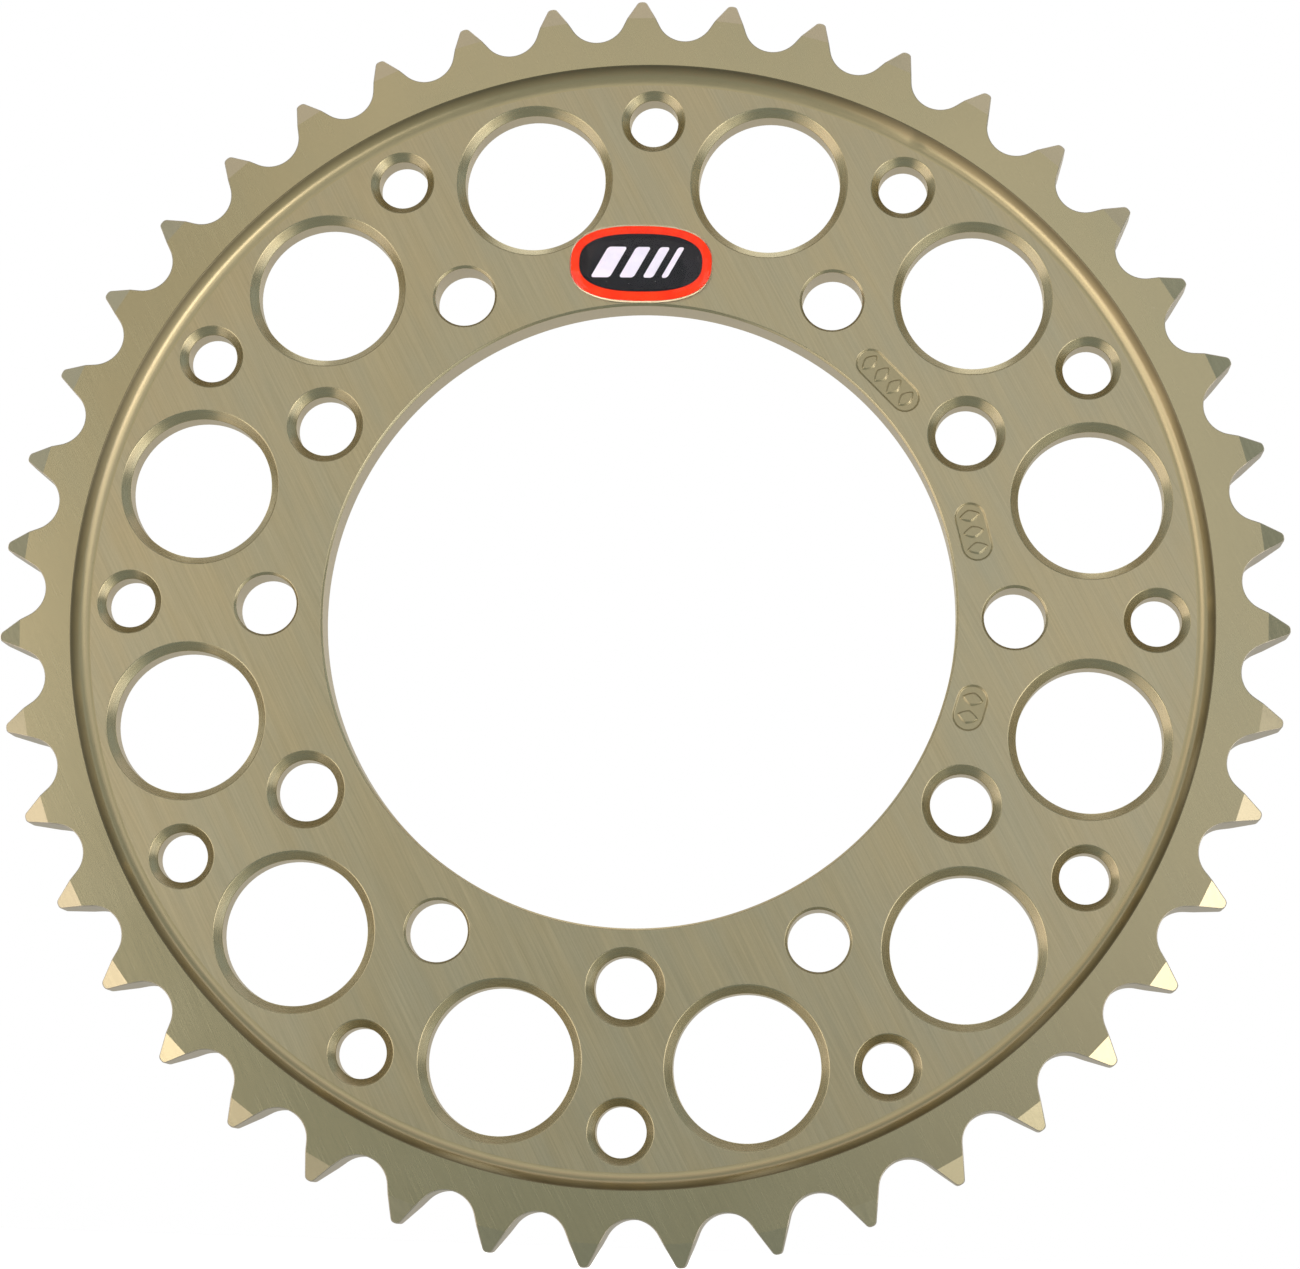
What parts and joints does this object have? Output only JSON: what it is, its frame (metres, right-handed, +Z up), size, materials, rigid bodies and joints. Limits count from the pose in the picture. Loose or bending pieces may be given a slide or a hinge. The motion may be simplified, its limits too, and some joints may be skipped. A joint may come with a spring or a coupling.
{
  "type": "motorcycle rear sprocket",
  "caption": "Hard-anodised aluminium rear chain sprocket with a recessed body, bored lightening holes, bolt holes on a circle and a domed badge.",
  "frame": {"origin": "centre of the wheel's axis, at the middle of the rim's thickness", "axes": "+Y along the sprocket's axis towards the wheel; the outer face with the badge looks along -Y; +Z up through the badge"},
  "size_m": [0.2234, 0.0088, 0.2235],
  "materials": {
    "anodised_aluminium": "hard-anodised olive grey, satin, with a straight rolled grain",
    "adhesive": "thin pressure-sensitive adhesive",
    "red_film": "printed red vinyl film",
    "black_ink": "black screen-printed ink",
    "pale_ink": "pale grey screen-printed ink",
    "clear_resin": "clear domed polyurethane resin, glossy"
  },
  "bodies": {
    "root": {"sprocket_plate": "anodised_aluminium", "label_adhesive": "adhesive", "label_film": "red_film", "label_field": "black_ink", "label_stripe_1": "pale_ink", "label_stripe_2": "pale_ink", "label_stripe_3": "pale_ink", "label_stripe_4": "pale_ink", "label_dome": "clear_resin"}
  },
  "joints": []
}
